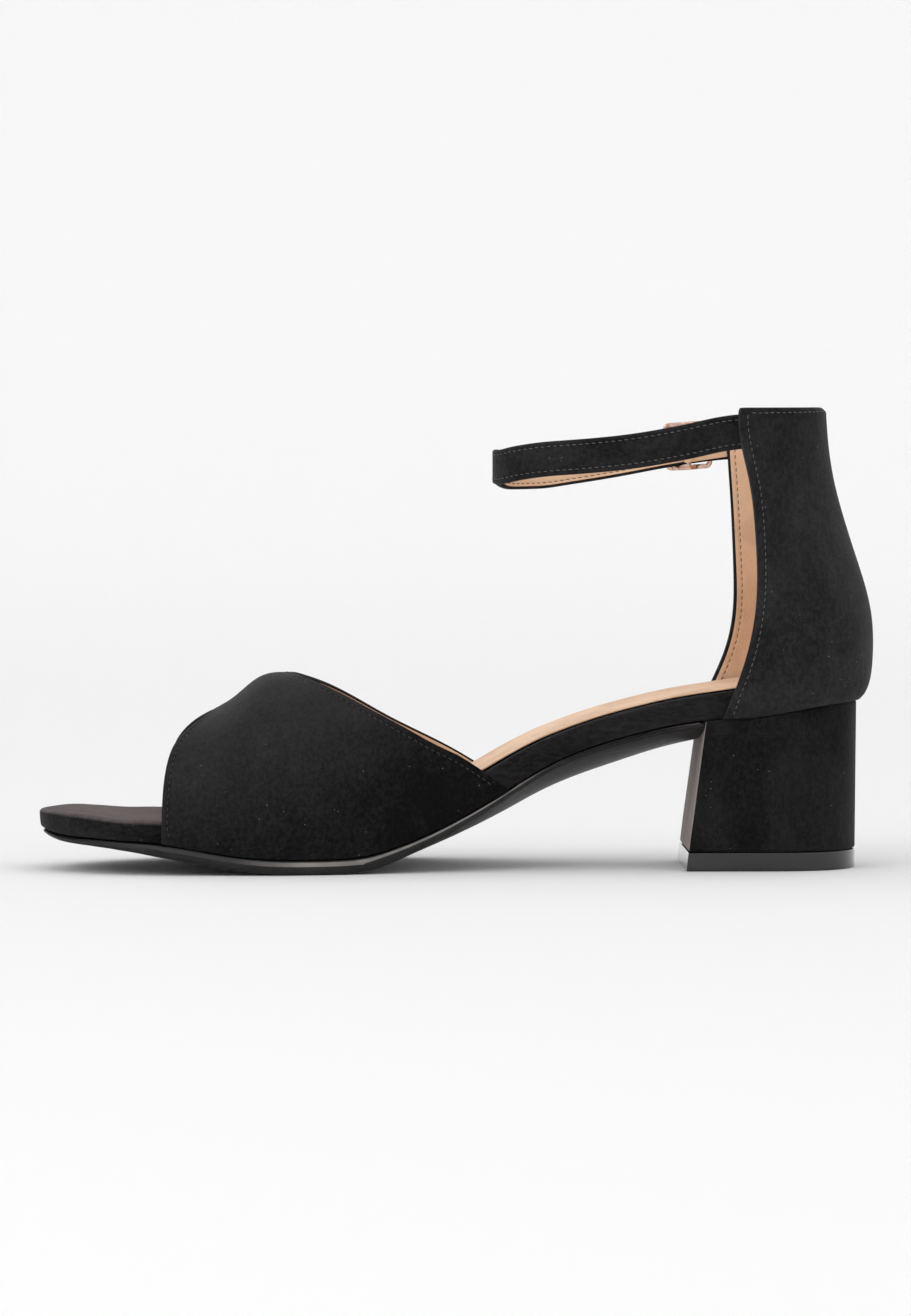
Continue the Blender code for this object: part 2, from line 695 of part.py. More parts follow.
def strap_frame(turn):
    """Middle, direction and outward direction of the strap where the ankle's oval turns."""
    step = DIRECTION_STEP
    point = ankle_point(turn)
    tangent = (ankle_point(turn + step) - ankle_point(turn - step)).normalized()
    normal = Vector((tangent.y, -tangent.x))
    if normal.dot(point - Vector((ankle_point(0.5).x, 0))) < 0:
        normal = -normal
    half = STRAP_THICKNESS / 2
    tucked = -(QUARTER_WALL + CLEARANCE + half)
    over = CLEARANCE + half
    shift = tucked + (over - tucked) * ease(-0.5, 0.5, turn)
    bump = (point.x - place(BUCKLE_STATION)) / (0.5 * BUCKLE_LENGTH)
    if turn > 0 and abs(bump) < 1:
        shift += BAR_LIFT * (1 - bump * bump) ** 2
    side = INNER if turn < 0 else OUTER
    height = STRAP_FRONT_HEIGHT + strap_share[side](along_of(point.x)) * STRAP_RISE
    return Vector((*(point + normal * shift), height)), Vector((*normal, 0))


def strap_ends():
    inner_front = place(quarter_front[INNER](STRAP_LEVEL))
    return (turn_at(inner_front + STRAP_TUCKED_LENGTH, INNER),
            turn_at(place(BUCKLE_STATION) + STRAP_TAIL_LENGTH, OUTER))


def ribbon(bm, middles, normals, width, thickness, chamfer):
    """A flat strip along a path, its corners chamfered and its last part narrowed."""
    sections = []
    for i, middle in enumerate(middles):
        tangent = (middles[min(i + 1, len(middles) - 1)] - middles[max(i - 1, 0)]).normalized()
        up = normals[i].cross(tangent).normalized()
        if up.z < 0:
            up = -up
        half, deep = width / 2, thickness / 2
        left = (middles[-1] - middle).length
        if left < STRAP_POINT_LENGTH:
            narrowing = math.sqrt(left / STRAP_POINT_LENGTH)
            half *= STRAP_POINT_SHARE + (1 - STRAP_POINT_SHARE) * narrowing
        corners = [(-half, -deep + chamfer), (-half, deep - chamfer), (-half + chamfer, deep),
                   (half - chamfer, deep), (half, deep - chamfer), (half, -deep + chamfer),
                   (half - chamfer, -deep), (-half + chamfer, -deep)]
        sections.append([middle + up * a + normals[i] * b for a, b in corners])
    loft(bm, sections, True, True)


def ankle_strap(bm):
    first, last = strap_ends()
    frames = [strap_frame(first + (last - first) * i / STRAP_STEPS) for i in range(STRAP_STEPS + 1)]
    middles = [frame[0] for frame in frames]
    normals = [frame[1] for frame in frames]
    ribbon(bm, middles, normals, STRAP_WIDTH, STRAP_THICKNESS, STRAP_CHAMFER)


def buckle_axes():
    """Matrix of the buckle: x towards the heel along the strap, y outwards, z across it."""
    turn = turn_at(place(BUCKLE_STATION), OUTER)
    middle, normal = strap_frame(turn)
    ahead, _ = strap_frame(turn + BUCKLE_STEP)
    behind, _ = strap_frame(turn - BUCKLE_STEP)
    run = (ahead - behind).normalized()
    middle = middle - normal * BAR_LIFT
    up = run.cross(normal).normalized()
    if up.z < 0:
        up = -up
    run = normal.cross(up).normalized()
    if run.x < 0:
        run = -run
    return Matrix(((run.x, normal.x, up.x, middle.x), (run.y, normal.y, up.y, middle.y),
                   (run.z, normal.z, up.z, middle.z), (0, 0, 0, 1)))


def tube(bm, points, radius, sides=TUBE_SIDES, closed=False):
    sections = []
    count = len(points)
    for i, point in enumerate(points):
        if closed:
            tangent = points[(i + 1) % count] - points[i - 1]
        else:
            tangent = points[min(i + 1, count - 1)] - points[max(i - 1, 0)]
        tangent.normalize()
        guide = Vector((0, 1, 0)) if abs(tangent.y) < 0.9 else Vector((1, 0, 0))
        across = tangent.cross(guide).normalized()
        other = across.cross(tangent).normalized()
        sections.append([point + (across * math.cos(t) + other * math.sin(t)) * radius
                         for t in (2 * math.pi * k / sides for k in range(sides))])
    loft(bm, sections, not closed, not closed, closed)


def buckle_rails(bm):
    half_x = BUCKLE_LENGTH / 2 - BUCKLE_RAIL
    half_z = BUCKLE_HEIGHT / 2 - BUCKLE_RAIL
    corner = BUCKLE_CORNER
    points = []
    for quarter_turn in range(4):
        cx = (half_x - corner) * (1 if quarter_turn in (0, 3) else -1)
        cz = (half_z - corner) * (1 if quarter_turn in (0, 1) else -1)
        for step in range(CORNER_STEPS + 1):
            angle = math.pi / 2 * (quarter_turn + step / CORNER_STEPS)
            points.append((cx + corner * math.cos(angle), cz + corner * math.sin(angle)))
        if quarter_turn in (0, 2):
            sign = 1 if quarter_turn == 0 else -1
            shares = (0.75, 0.5, 0.25, 0.0, -0.25, -0.5, -0.75)
            points += [(sign * (half_x - corner) * share, sign * half_z) for share in shares]
    path = []
    for x, z in points:
        straight = min(1.0, abs(x) / (half_x - corner))
        dip = (FRAME_LEVEL - BAR_LEVEL) * (1 - straight ** 2) ** 1.5
        path.append(Vector((x, FRAME_LEVEL - dip, z)))
    tube(bm, path, BUCKLE_RAIL, closed=True)
    bmesh.ops.transform(bm, matrix=buckle_axes(), verts=bm.verts)


def buckle_bar(bm):
    half_z = BUCKLE_HEIGHT / 2 - BUCKLE_RAIL
    tube(bm, [Vector((0, BAR_LEVEL, z)) for z in (-half_z, 0, half_z)], BAR_RADIUS)
    bmesh.ops.transform(bm, matrix=buckle_axes(), verts=bm.verts)


def tab_length():
    """From the bar to the quarter's outer front edge."""
    axes = buckle_axes()
    edge = place(quarter_front[OUTER](TAB_LEVEL)) - 2 * CLEARANCE
    return (edge - axes.translation.x) / axes[0][0]


def strap_inside(x):
    """Level of the strap's inner face at a place behind the bar, in the buckle's own axes."""
    inverse = buckle_axes().inverted()
    start = turn_at(place(BUCKLE_STATION), OUTER)
    before = None
    for i in range(TAB_PROBES):
        point, normal = strap_frame(start + PROBE_STEP * i)
        local = inverse @ (point - normal * (STRAP_THICKNESS / 2))
        if before is not None and local.x >= x:
            share = (x - before.x) / (local.x - before.x)
            return before.y + (local.y - before.y) * share
        before = local
    return before.y


def buckle_tab(bm):
    """Leather folded round the bar and closed behind it, up to the quarter's edge."""
    opening = math.asin(TAB_LEAF / LOOP_RADIUS)
    loop = []
    for i in range(TAB_STEPS + 1):
        angle = opening + (2 * math.pi - 2 * opening) * i / TAB_STEPS
        loop.append(Vector((math.cos(angle), math.sin(angle))) * LOOP_RADIUS)
    loop = [Vector((point.x, point.y + BAR_LEVEL)) for point in loop]
    length = tab_length()
    tops = []
    for i in range(TAB_RUNS, 0, -1):
        x = loop[0].x + (length - loop[0].x) * i / TAB_RUNS
        tops.append(Vector((x, min(loop[0].y, strap_inside(x) - CLEARANCE))))
    backs = [Vector((point.x, point.y - 2 * TAB_LEAF)) for point in reversed(tops)]
    profile = tops + loop + backs
    sections = [[Vector((*point, z)) for point in profile] for z in (-TAB_HEIGHT / 2, TAB_HEIGHT / 2)]
    loft(bm, sections, True, True)
    bmesh.ops.transform(bm, matrix=buckle_axes(), verts=bm.verts)


def bar_hole(bm):
    reach = TAB_HEIGHT
    tube(bm, [Vector((0, BAR_LEVEL, z)) for z in (-reach, 0, reach)], BAR_RADIUS + CLEARANCE, HOLE_SIDES)
    bmesh.ops.transform(bm, matrix=buckle_axes(), verts=bm.verts)


def box_cutter(low, high):
    def maker(bm):
        middle, size = (low + high) / 2, high - low
        made = bmesh.ops.create_cube(bm, size=1)["verts"]
        bmesh.ops.scale(bm, vec=size, verts=made)
        bmesh.ops.translate(bm, vec=middle, verts=made)
        bmesh.ops.transform(bm, matrix=buckle_axes(), verts=bm.verts)
    return maker


def prong_eye(bm):
    points = []
    for i in range(EYE_STEPS):
        angle = 2 * math.pi * i / EYE_STEPS
        points.append(Vector((math.cos(angle) * EYE_RADIUS, BAR_LEVEL + math.sin(angle) * EYE_RADIUS, 0)))
    sections = []
    for point in points:
        spoke = (point - Vector((0, BAR_LEVEL, 0))).normalized()
        sections.append([point + (spoke * math.cos(t) + Vector((0, 0, 1)) * math.sin(t)) * PRONG_RADIUS
                         for t in (2 * math.pi * k / TUBE_SIDES for k in range(TUBE_SIDES))])
    loft(bm, sections, False, False, True)
    bmesh.ops.transform(bm, matrix=buckle_axes(), verts=bm.verts)


def prong_arm(bm):
    """From the eye out through the strap's hole and over the front rail."""
    rail_x = -(BUCKLE_LENGTH / 2 - BUCKLE_RAIL)
    over = FRAME_LEVEL + BUCKLE_RAIL + CLEARANCE + PRONG_RADIUS
    start = BAR_LEVEL + EYE_RADIUS
    path = [Vector((rail_x * x, start + (over - start) * y, 0)) for x, y in PRONG_PATH]
    tube(bm, path, PRONG_RADIUS)
    bmesh.ops.transform(bm, matrix=buckle_axes(), verts=bm.verts)


def modify(thing, other, operation):
    """A Boolean with another object, which stays as a hidden guide."""
    other.hide_render = True
    other.display_type = "WIRE"
    step = thing.modifiers.new(operation.lower(), "BOOLEAN")
    step.operation = operation
    step.object = other
    step.solver = "EXACT"


for thing in list(bpy.data.objects):
    bpy.data.objects.remove(thing, do_unlink=True)

black_suede = material("black_suede", (0.013, 0.012, 0.013), 0.95)
tan_leather = material("tan_leather", (0.58, 0.38, 0.25), 0.6)
sole_black = material("sole_black", (0.03, 0.028, 0.028), 0.5)
gloss_black = material("gloss_black", (0.01, 0.01, 0.01), 0.12)
rose_gold = material("rose_gold", (0.80, 0.53, 0.43), 0.22, 1.0)

add_object("outsole", outsole, sole_black)
add_object("footbed", footbed, black_suede)
add_object("insole_sock", insole_sock, tan_leather)
add_object("vamp", vamp, black_suede)
add_object("quarter", quarter, black_suede)
add_object("heel_block", heel_block, black_suede)
add_object("heel_lift", heel_lift, gloss_black)

strap = add_object("ankle_strap", ankle_strap, black_suede)
hole = box_cutter(Vector((HOLE_FRONT, -STRAP_THICKNESS, -HOLE_HALF)),
                  Vector((HOLE_BACK, STRAP_THICKNESS + BAR_LIFT, HOLE_HALF)))
modify(strap, add_object("guide_strap_hole", hole, black_suede), "DIFFERENCE")

frame = add_object("buckle_frame", buckle_rails, rose_gold)
modify(frame, add_object("guide_bar", buckle_bar, rose_gold), "UNION")

tab = add_object("buckle_tab", buckle_tab, tan_leather)
modify(tab, add_object("guide_bar_hole", bar_hole, tan_leather), "DIFFERENCE")
slot_half = PRONG_RADIUS + CLEARANCE
slot_depth = EYE_RADIUS + PRONG_RADIUS + CLEARANCE
slot = box_cutter(Vector((-slot_depth, BAR_LEVEL - slot_depth, -slot_half)),
                  Vector((slot_depth, BAR_LEVEL + slot_depth, slot_half)))
modify(tab, add_object("guide_tab_slot", slot, tan_leather), "DIFFERENCE")

prong = add_object("buckle_prong", prong_eye, rose_gold)
modify(prong, add_object("guide_prong_arm", prong_arm, rose_gold), "UNION")
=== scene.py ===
# Block heel sandal, right shoe: the finish of every surface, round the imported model.
import math

import bmesh
import bpy
from mathutils import Matrix, Vector
from mathutils.kdtree import KDTree


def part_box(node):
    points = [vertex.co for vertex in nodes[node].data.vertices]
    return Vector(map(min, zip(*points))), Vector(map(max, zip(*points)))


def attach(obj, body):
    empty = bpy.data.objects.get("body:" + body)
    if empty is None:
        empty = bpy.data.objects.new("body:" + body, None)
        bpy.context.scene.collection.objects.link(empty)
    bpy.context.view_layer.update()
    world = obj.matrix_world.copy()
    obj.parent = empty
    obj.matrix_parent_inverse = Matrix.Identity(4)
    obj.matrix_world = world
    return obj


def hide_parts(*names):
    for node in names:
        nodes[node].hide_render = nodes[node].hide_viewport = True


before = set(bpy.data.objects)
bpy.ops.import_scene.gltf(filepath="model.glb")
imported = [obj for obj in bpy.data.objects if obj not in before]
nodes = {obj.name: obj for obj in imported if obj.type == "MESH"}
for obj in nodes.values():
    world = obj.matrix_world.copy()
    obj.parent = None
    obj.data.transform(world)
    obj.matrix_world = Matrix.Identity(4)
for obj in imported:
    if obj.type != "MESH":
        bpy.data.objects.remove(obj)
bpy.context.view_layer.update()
mm = 0.001


# Shader maths written as sums: one output socket of a node
class Wire:
    def __init__(self, finish, socket):
        self.finish = finish
        self.socket = socket

    def maths(self, operation, *values):
        inputs = dict(enumerate(values))
        return self.finish.node("Math", {"operation": operation}, inputs)

    def __add__(self, other):
        return self.maths("ADD", self, other)

    def __radd__(self, other):
        return self.maths("ADD", other, self)

    def __sub__(self, other):
        return self.maths("SUBTRACT", self, other)

    def __rsub__(self, other):
        return self.maths("SUBTRACT", other, self)

    def __mul__(self, other):
        return self.maths("MULTIPLY", self, other)

    def __rmul__(self, other):
        return self.maths("MULTIPLY", other, self)

    def __abs__(self):
        return self.maths("ABSOLUTE", self)

    def spread(self, low, high):  # 0 below low, 1 above high
        inputs = {"Value": self, "From Min": low, "From Max": high}
        return self.finish.node("MapRange", {"interpolation_type": "SMOOTHSTEP"}, inputs)


class Finish:
    def __init__(self, name, **constants):
        self.material = bpy.data.materials.new(name)
        self.material.use_nodes = True
        self.tree = self.material.node_tree
        self.shader = self.tree.nodes["Principled BSDF"]
        for key, value in constants.items():
            self.feed(self.shader.inputs[socketNames[key]], value)

    def feed(self, socket, value):
        if isinstance(value, Wire):
            self.tree.links.new(value.socket, socket)
        elif hasattr(value, "__len__") and len(value) == 3 and len(socket.default_value) == 4:
            socket.default_value = (*value, 1)
        else:
            socket.default_value = value

    def node(self, kind, settings=None, inputs=None, output=0):
        made = self.tree.nodes.new("ShaderNode" + kind)
        for key, value in (settings or {}).items():
            setattr(made, key, value)
        for key, value in (inputs or {}).items():
            self.feed(made.inputs[key], value)
        return Wire(self, made.outputs[output])

    def place(self, scale=(1, 1, 1), turn=(0, 0, 0)):  # the piece's own place, stretched or turned
        spot = self.node("TexCoord", output=3)
        return self.node("Mapping", inputs={"Vector": spot, "Scale": scale, "Rotation": turn})

    def grain(self, size, detail=2, rough=0.5, scale=(1, 1, 1), turn=(0, 0, 0), wander=0):
        inputs = {"Vector": self.place(scale, turn), "Scale": 1 / size, "Detail": detail,
                  "Roughness": rough, "Distortion": wander}
        return self.node("TexNoise", inputs=inputs)

    def cells(self, size):
        return self.node("TexVoronoi", inputs={"Vector": self.place(), "Scale": 1 / size})

    def ramp(self, direction, low, high):  # 0 to 1 along a direction through the piece
        spot = self.node("TexCoord", output=3)
        along = self.node("VectorMath", {"operation": "DOT_PRODUCT"}, {0: spot, 1: direction}, output=1)
        return along.spread(low, high)

    def blendColour(self, factor, first, second):
        inputs = {0: factor, 6: first, 7: second}
        return self.node("Mix", {"data_type": "RGBA"}, inputs, output=2)

    def attribute(self, name):
        return self.node("Attribute", {"attribute_name": name}, output=2)

    def bumps(self, height, strength):  # the height is in metres
        inputs = {"Height": height, "Distance": 1.0, "Strength": strength}
        self.feed(self.shader.inputs["Normal"], self.node("Bump", inputs=inputs))


socketNames = {
    "colour": "Base Color", "rough": "Roughness", "metal": "Metallic", "gloss": "Specular IOR Level",
    "sheen": "Sheen Weight", "sheenRough": "Sheen Roughness", "sheenTint": "Sheen Tint",
    "coat": "Coat Weight", "coatRough": "Coat Roughness",
}

suedeLook = {
    "dark": (0.0050, 0.0048, 0.0050), "light": (0.0300, 0.0290, 0.0298), "worn": (0.180, 0.173, 0.173),
    "nap": 0.42 * mm, "patch": 20 * mm, "brush": 7 * mm, "seamHalf": 0.7 * mm, "seamDepth": 0.16 * mm,
    "sheen": 0.10, "sheenRough": 0.45, "sheenTint": (0.92, 0.90, 0.93), "wander": 0.5,
    "napDepth": 0.10 * mm, "fuzzDepth": 0.12 * mm, "brushDepth": 0.04 * mm, "base": 0.18,
    "mottle": 0.34, "fur": 0.35, "seamShade": 0.45, "lean": None, "top": None, "topEdge": 4 * mm,
}


def suede(name, stretch=(1, 1, 1), turn=(0, 0, 0), seamed=False, **changes):
    look = {**suedeLook, **changes}
    finish = Finish(name, rough=0.92, gloss=0.04, sheen=look["sheen"],
                    sheenRough=look["sheenRough"], sheenTint=look["sheenTint"])
    nap = finish.grain(look["nap"], 3, 0.75)
    fuzz = finish.grain(look["nap"] * 2.6, 2, 0.6, stretch, turn)
    patch = finish.grain(look["patch"], 3, 0.55, stretch, turn, look["wander"]).spread(0.36, 0.64)
    brush = finish.grain(look["brush"], 4, 0.6, stretch, turn, 0.3).spread(0.36, 0.68)
    tone = (patch + brush * 0.5) * look["mottle"] + look["base"] - look["fur"] * 0.92
    tone = tone + (nap.spread(0.34, 0.70) + fuzz.spread(0.34, 0.66)) * look["fur"]
    # painted light and shade: the tone rises along a direction through the piece, lighter where light
    # falls and darker where shade falls
    if look["lean"]:
        direction, low, high, share = look["lean"]
        tone = tone + finish.ramp(direction, low, high) * share - share * 0.4
    colour = finish.blendColour(tone, look["dark"], look["light"])
    if look["top"]:  # painted sheen: lighter where it faces up, in front of a place along the shoe
        deep, pale, start = look["top"]
        upwards = finish.node("SeparateXYZ", inputs={0: finish.node("TexCoord", output=1)}, output=2)
        lit = upwards.spread(0.15, 0.85) * finish.ramp((-1, 0, 0), start, start + look["topEdge"])
        colour = finish.blendColour(lit, colour, finish.blendColour(tone, deep, pale))
    specks = finish.cells(look["nap"] * 6).spread(0.075, 0.035) * brush.spread(0.35, 0.60)
    colour = finish.blendColour(specks, colour, look["worn"])
    height = nap * look["napDepth"] + fuzz * look["fuzzDepth"] + brush * look["brushDepth"]
    if seamed:
        groove = abs(finish.attribute("seam")).spread(look["seamHalf"], 0.0)
        colour = finish.blendColour(groove * look["seamShade"], colour, look["dark"])
        height = height - groove * look["seamDepth"]
    finish.feed(finish.shader.inputs["Base Color"], colour)
    finish.bumps(height, 0.9)
    return finish.material


liningLook = {
    "pale": (0.80, 0.545, 0.365), "deep": (0.67, 0.440, 0.285), "pores": 0.7 * mm, "cloud": 14 * mm,
    "poreDepth": 0.04 * mm, "fineDepth": 0.03 * mm, "cloudDepth": 0.05 * mm, "poreShade": 0.16,
    "rough": 0.50, "seamHalf": 0.8 * mm, "seamDepth": 0.14 * mm, "seamShade": 0.30,
}


def leather(name, seamed=False):
    look = liningLook
    finish = Finish(name, gloss=0.32, sheen=0.12, sheenRough=0.5, sheenTint=(1.0, 0.9, 0.8))
    cloud = finish.grain(look["cloud"], 3, 0.55, wander=0.4).spread(0.34, 0.68)
    pores = finish.cells(look["pores"]).spread(0.18, 0.62)
    fine = finish.grain(look["pores"] * 0.5, 2)
    colour = finish.blendColour(cloud, look["pale"], look["deep"])
    colour = finish.blendColour((1 - pores) * look["poreShade"], colour, look["deep"])
    height = pores * look["poreDepth"] + fine * look["fineDepth"] + cloud * look["cloudDepth"]
    if seamed:
        groove = abs(finish.attribute("seam")).spread(look["seamHalf"], 0.0)
        colour = finish.blendColour(groove * look["seamShade"], colour, look["deep"])
        height = height - groove * look["seamDepth"]
    finish.feed(finish.shader.inputs["Base Color"], colour)
    finish.feed(finish.shader.inputs["Roughness"], look["rough"] + cloud * 0.10 + fine * 0.06)
    finish.bumps(height, 0.8)
    return finish.material


def soleFinish(name, dark, light, rough, fade=None):  # fade: another colour, then where it ends
    finish = Finish(name, gloss=0.25)
    cloud = finish.grain(9 * mm, 4, 0.6, (0.5, 1, 1)).spread(0.36, 0.70)
    grit = finish.grain(0.5 * mm, 3, 0.7)
    rub = finish.grain(1.6 * mm, 3, 0.6, (0.12, 1, 1)).spread(0.50, 0.75)
    colour = finish.blendColour(cloud * 0.5 + rub * 0.4, dark, light)
    if fade:
        colour = finish.blendColour(finish.ramp(*fade[1:]), fade[0], colour)
    finish.feed(finish.shader.inputs["Base Color"], colour)
    finish.feed(finish.shader.inputs["Roughness"], rough + grit * 0.12 - rub * 0.06)
    finish.bumps(grit * (0.03 * mm) + cloud * (0.04 * mm), 0.7)
    return finish.material


def glossFinish(name, colour):
    finish = Finish(name, colour=colour, gloss=0.34, coat=0.65, coatRough=0.05)
    wave = finish.grain(2.2 * mm, 2, 0.5, (1, 1, 0.15))
    scuff = finish.grain(0.8 * mm, 4, 0.6, (0.2, 0.2, 2)).spread(0.58, 0.80)
    finish.feed(finish.shader.inputs["Roughness"], 0.13 + scuff * 0.16)
    finish.bumps(wave * (0.03 * mm), 0.6)
    return finish.material


def goldFinish(name, bright, dim):
    finish = Finish(name, metal=1.0)
    dull = finish.grain(1.4 * mm, 3, 0.6).spread(0.42, 0.72)
    lines = finish.grain(0.25 * mm, 3, 0.6, (0.15, 1, 1))
    finish.feed(finish.shader.inputs["Base Color"], finish.blendColour(dull, bright, dim))
    finish.feed(finish.shader.inputs["Roughness"], 0.16 + dull * 0.10 + lines * 0.05)
    finish.bumps(lines * (0.012 * mm), 0.6)
    return finish.material


def threadFinish(name, dark, light):
    finish = Finish(name, rough=0.62, gloss=0.15, sheen=0.1, sheenRough=0.4)
    twist = finish.grain(0.16 * mm, 2, 0.5).spread(0.35, 0.7)
    finish.feed(finish.shader.inputs["Base Color"], finish.blendColour(twist, dark, light))
    finish.bumps(twist * (0.05 * mm), 0.7)
    return finish.material


# The vamp's tone is painted lighter up towards the toe and darker low down and towards the back:
# painted light and shade.
vampSuede = suede("vampSuede", (1.0, 1.0, 0.8), (0.2, 0.5, 0.1), True, patch=24 * mm, mottle=0.20,
                  fur=0.24, dark=(0.0044, 0.0042, 0.0044),
                  lean=((-0.4, 0.0, 0.92), 57 * mm, 97 * mm, 0.70))
quarterSuede = suede("quarterSuede", (1.0, 1.0, 0.7), (0.1, -0.25, 0.0), True,
                     dark=(0.0105, 0.0102, 0.0105), light=(0.0340, 0.0330, 0.0336))
strapSuede = suede("strapSuede", (0.8, 1.0, 1.0), seamed=True, dark=(0.0070, 0.0068, 0.0070))
# The footbed's toe top gets a pale brown painted sheen where it faces up.
footbedSuede = suede("footbedSuede", (0.4, 1.0, 1.0), light=(0.0240, 0.0230, 0.0236),
                     top=((0.066, 0.055, 0.054), (0.140, 0.118, 0.117), 118 * mm))
heelSuede = suede("heelSuede", (1.0, 1.0, 0.7), dark=(0.0038, 0.0036, 0.0038),
                  light=(0.0190, 0.0182, 0.0187))
# The heel's front face: a pale brown lit copy of the heel suede, painted sheen where light grazes it.
breastPaintedSheen = suede("breastPaintedSheen", (1.0, 2.4, 0.12), dark=(0.185, 0.158, 0.150),
                    light=(0.430, 0.366, 0.346), brush=1.6 * mm, patch=4 * mm, mottle=0.50)
sockLeather = leather("sockLeather")
liningLeather = leather("liningLeather", True)
soleBlack = soleFinish("soleBlack", (0.006, 0.0058, 0.0058), (0.022, 0.0212, 0.0212), 0.38)
# A painted reflection on the sole's bevel: pale along the side, dark towards the toe.
soleRimPaintedReflection = soleFinish("soleRimPaintedReflection", (0.150, 0.140, 0.132), (0.330, 0.305, 0.286), 0.34,
                     ((0.026, 0.025, 0.024), (1, 0, 0), -157 * mm, -132 * mm))
liftGloss = glossFinish("liftGloss", (0.0035, 0.0033, 0.0034))
roseGold = goldFinish("roseGold", (0.66, 0.45, 0.365), (0.42, 0.27, 0.215))
greyThread = threadFinish("greyThread", (0.066, 0.066, 0.067), (0.150, 0.149, 0.150))
darkThread = threadFinish("darkThread", (0.024, 0.024, 0.025), (0.058, 0.057, 0.058))
brownThread = threadFinish("brownThread", (0.150, 0.100, 0.065), (0.240, 0.165, 0.110))
print("finishes made")


def focus(piece):
    if bpy.context.object and bpy.context.object.mode != "OBJECT":
        bpy.ops.object.mode_set(mode="OBJECT")
    bpy.ops.object.select_all(action="DESELECT")
    piece.select_set(True)
    bpy.context.view_layer.objects.active = piece


def choose(piece, kind, test):  # in edit mode, selects the faces, edges or points that pass
    bpy.context.tool_settings.mesh_select_mode = (kind == "verts", kind == "edges", kind == "faces")
    bpy.ops.mesh.select_all(action="DESELECT")
    made = bmesh.from_edit_mesh(piece.data)
    for item in getattr(made, kind):
        if test(item):
            item.select_set(True)
    made.select_flush_mode()
    bmesh.update_edit_mesh(piece.data)


def copyOf(source, name):
    piece = bpy.data.objects.new(name, source.data.copy())
    bpy.context.collection.objects.link(piece)
    focus(piece)
    return piece


def applied(piece, kind, **settings):
    step = piece.modifiers.new(kind.lower(), kind)
    for key, value in settings.items():
        setattr(step, key, value)
    bpy.ops.object.modifier_apply(modifier=step.name)


joinLook = {"weld": 0.01 * mm, "flat": math.radians(50), "skew": math.radians(60)}


def merged(node, name):  # a node's copy as quads, its loose triangles joined up
    piece = copyOf(nodes[node], name)
    piece.data.materials.clear()
    bpy.ops.object.mode_set(mode="EDIT")
    bpy.ops.mesh.select_all(action="SELECT")
    bpy.ops.mesh.remove_doubles(threshold=joinLook["weld"])
    bpy.ops.mesh.tris_convert_to_quads(face_threshold=joinLook["flat"],
                                       shape_threshold=joinLook["skew"])
    bpy.ops.mesh.customdata_custom_splitnormals_clear()
    bpy.ops.object.mode_set(mode="OBJECT")
    return piece


rim, inside, outside = 0, 1, 2  # a face's region, kept in its material index


def ringed(piece, region, rings):  # lines round a region at these widths; the first is its turned edge
    focus(piece)
    bpy.ops.object.mode_set(mode="EDIT")
    choose(piece, "faces", lambda face: face.material_index == region)
    for i, ring in enumerate(rings):
        bpy.ops.mesh.inset(thickness=ring, use_boundary=True, use_even_offset=False)
        if i == 0:
            made = bmesh.from_edit_mesh(piece.data)
            for face in made.faces:
                if face.material_index == region and not face.select:
                    face.material_index = rim
            bmesh.update_edit_mesh(piece.data)
    bpy.ops.object.mode_set(mode="OBJECT")


def skived(piece, share):  # thins a wall towards its edges, from the inside
    made = bmesh.new()
    made.from_mesh(piece.data)
    for line in made.edges:
        if all(face.material_index == rim for face in line.link_faces):
            for spot, other in (line.verts, reversed(line.verts)):
                if any(face.material_index == inside for face in spot.link_faces):
                    spot.co = spot.co.lerp(other.co, share)
    made.to_mesh(piece.data)
    made.free()


def dressed(node, name, edge, levels=2, regions=None, sharp=38, rings=None, mend=None, skive=0):
    piece = merged(node, name)
    if mend:
        mend(piece)
    for _ in (rim, inside, outside):
        piece.data.materials.append(None)
    for face in piece.data.polygons:
        face.material_index = regions(face) if regions else rim
    if skive:
        skived(piece, skive)
    applied(piece, "BEVEL", width=edge, segments=2, limit_method="ANGLE", material=rim,
            angle_limit=math.radians(sharp), use_clamp_overlap=False, miter_outer="MITER_ARC")
    for region, widths in (rings or {}).items():
        ringed(piece, region, widths)
    applied(piece, "SUBSURF", levels=levels, render_levels=levels)
    piece.data.shade_smooth()
    return piece


def plate(piece, *finishes):  # leaves the piece with these materials, by region
    last = len(finishes) - 1
    indexes = [min(face.material_index, last) for face in piece.data.polygons]
    piece.data.materials.clear()
    for finish in finishes:
        piece.data.materials.append(finish)
    piece.data.polygons.foreach_set("material_index", indexes)


def settle(piece, slot, *replaced):
    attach(piece, "root")
    if replaced:
        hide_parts(*replaced)
    print(piece.name, len(piece.data.polygons), "faces")


def skinOf(shell, name, region, lift, thick):  # a thin layer on one side of a shell
    skin = copyOf(shell, name)
    bpy.ops.object.mode_set(mode="EDIT")
    choose(skin, "faces", lambda face: face.material_index != region)
    bpy.ops.mesh.delete(type="FACE")
    bpy.ops.object.mode_set(mode="OBJECT")
    faces = skin.data.polygons
    faces.foreach_set("material_index", [outside] * len(faces))
    skin["layer"] = (lift, thick)
    return skin


def thicken(skin):
    lift, thick = skin["layer"]
    del skin["layer"]
    focus(skin)
    applied(skin, "SOLIDIFY", thickness=thick, offset=2 * lift / thick - 1, use_quality_normals=True)


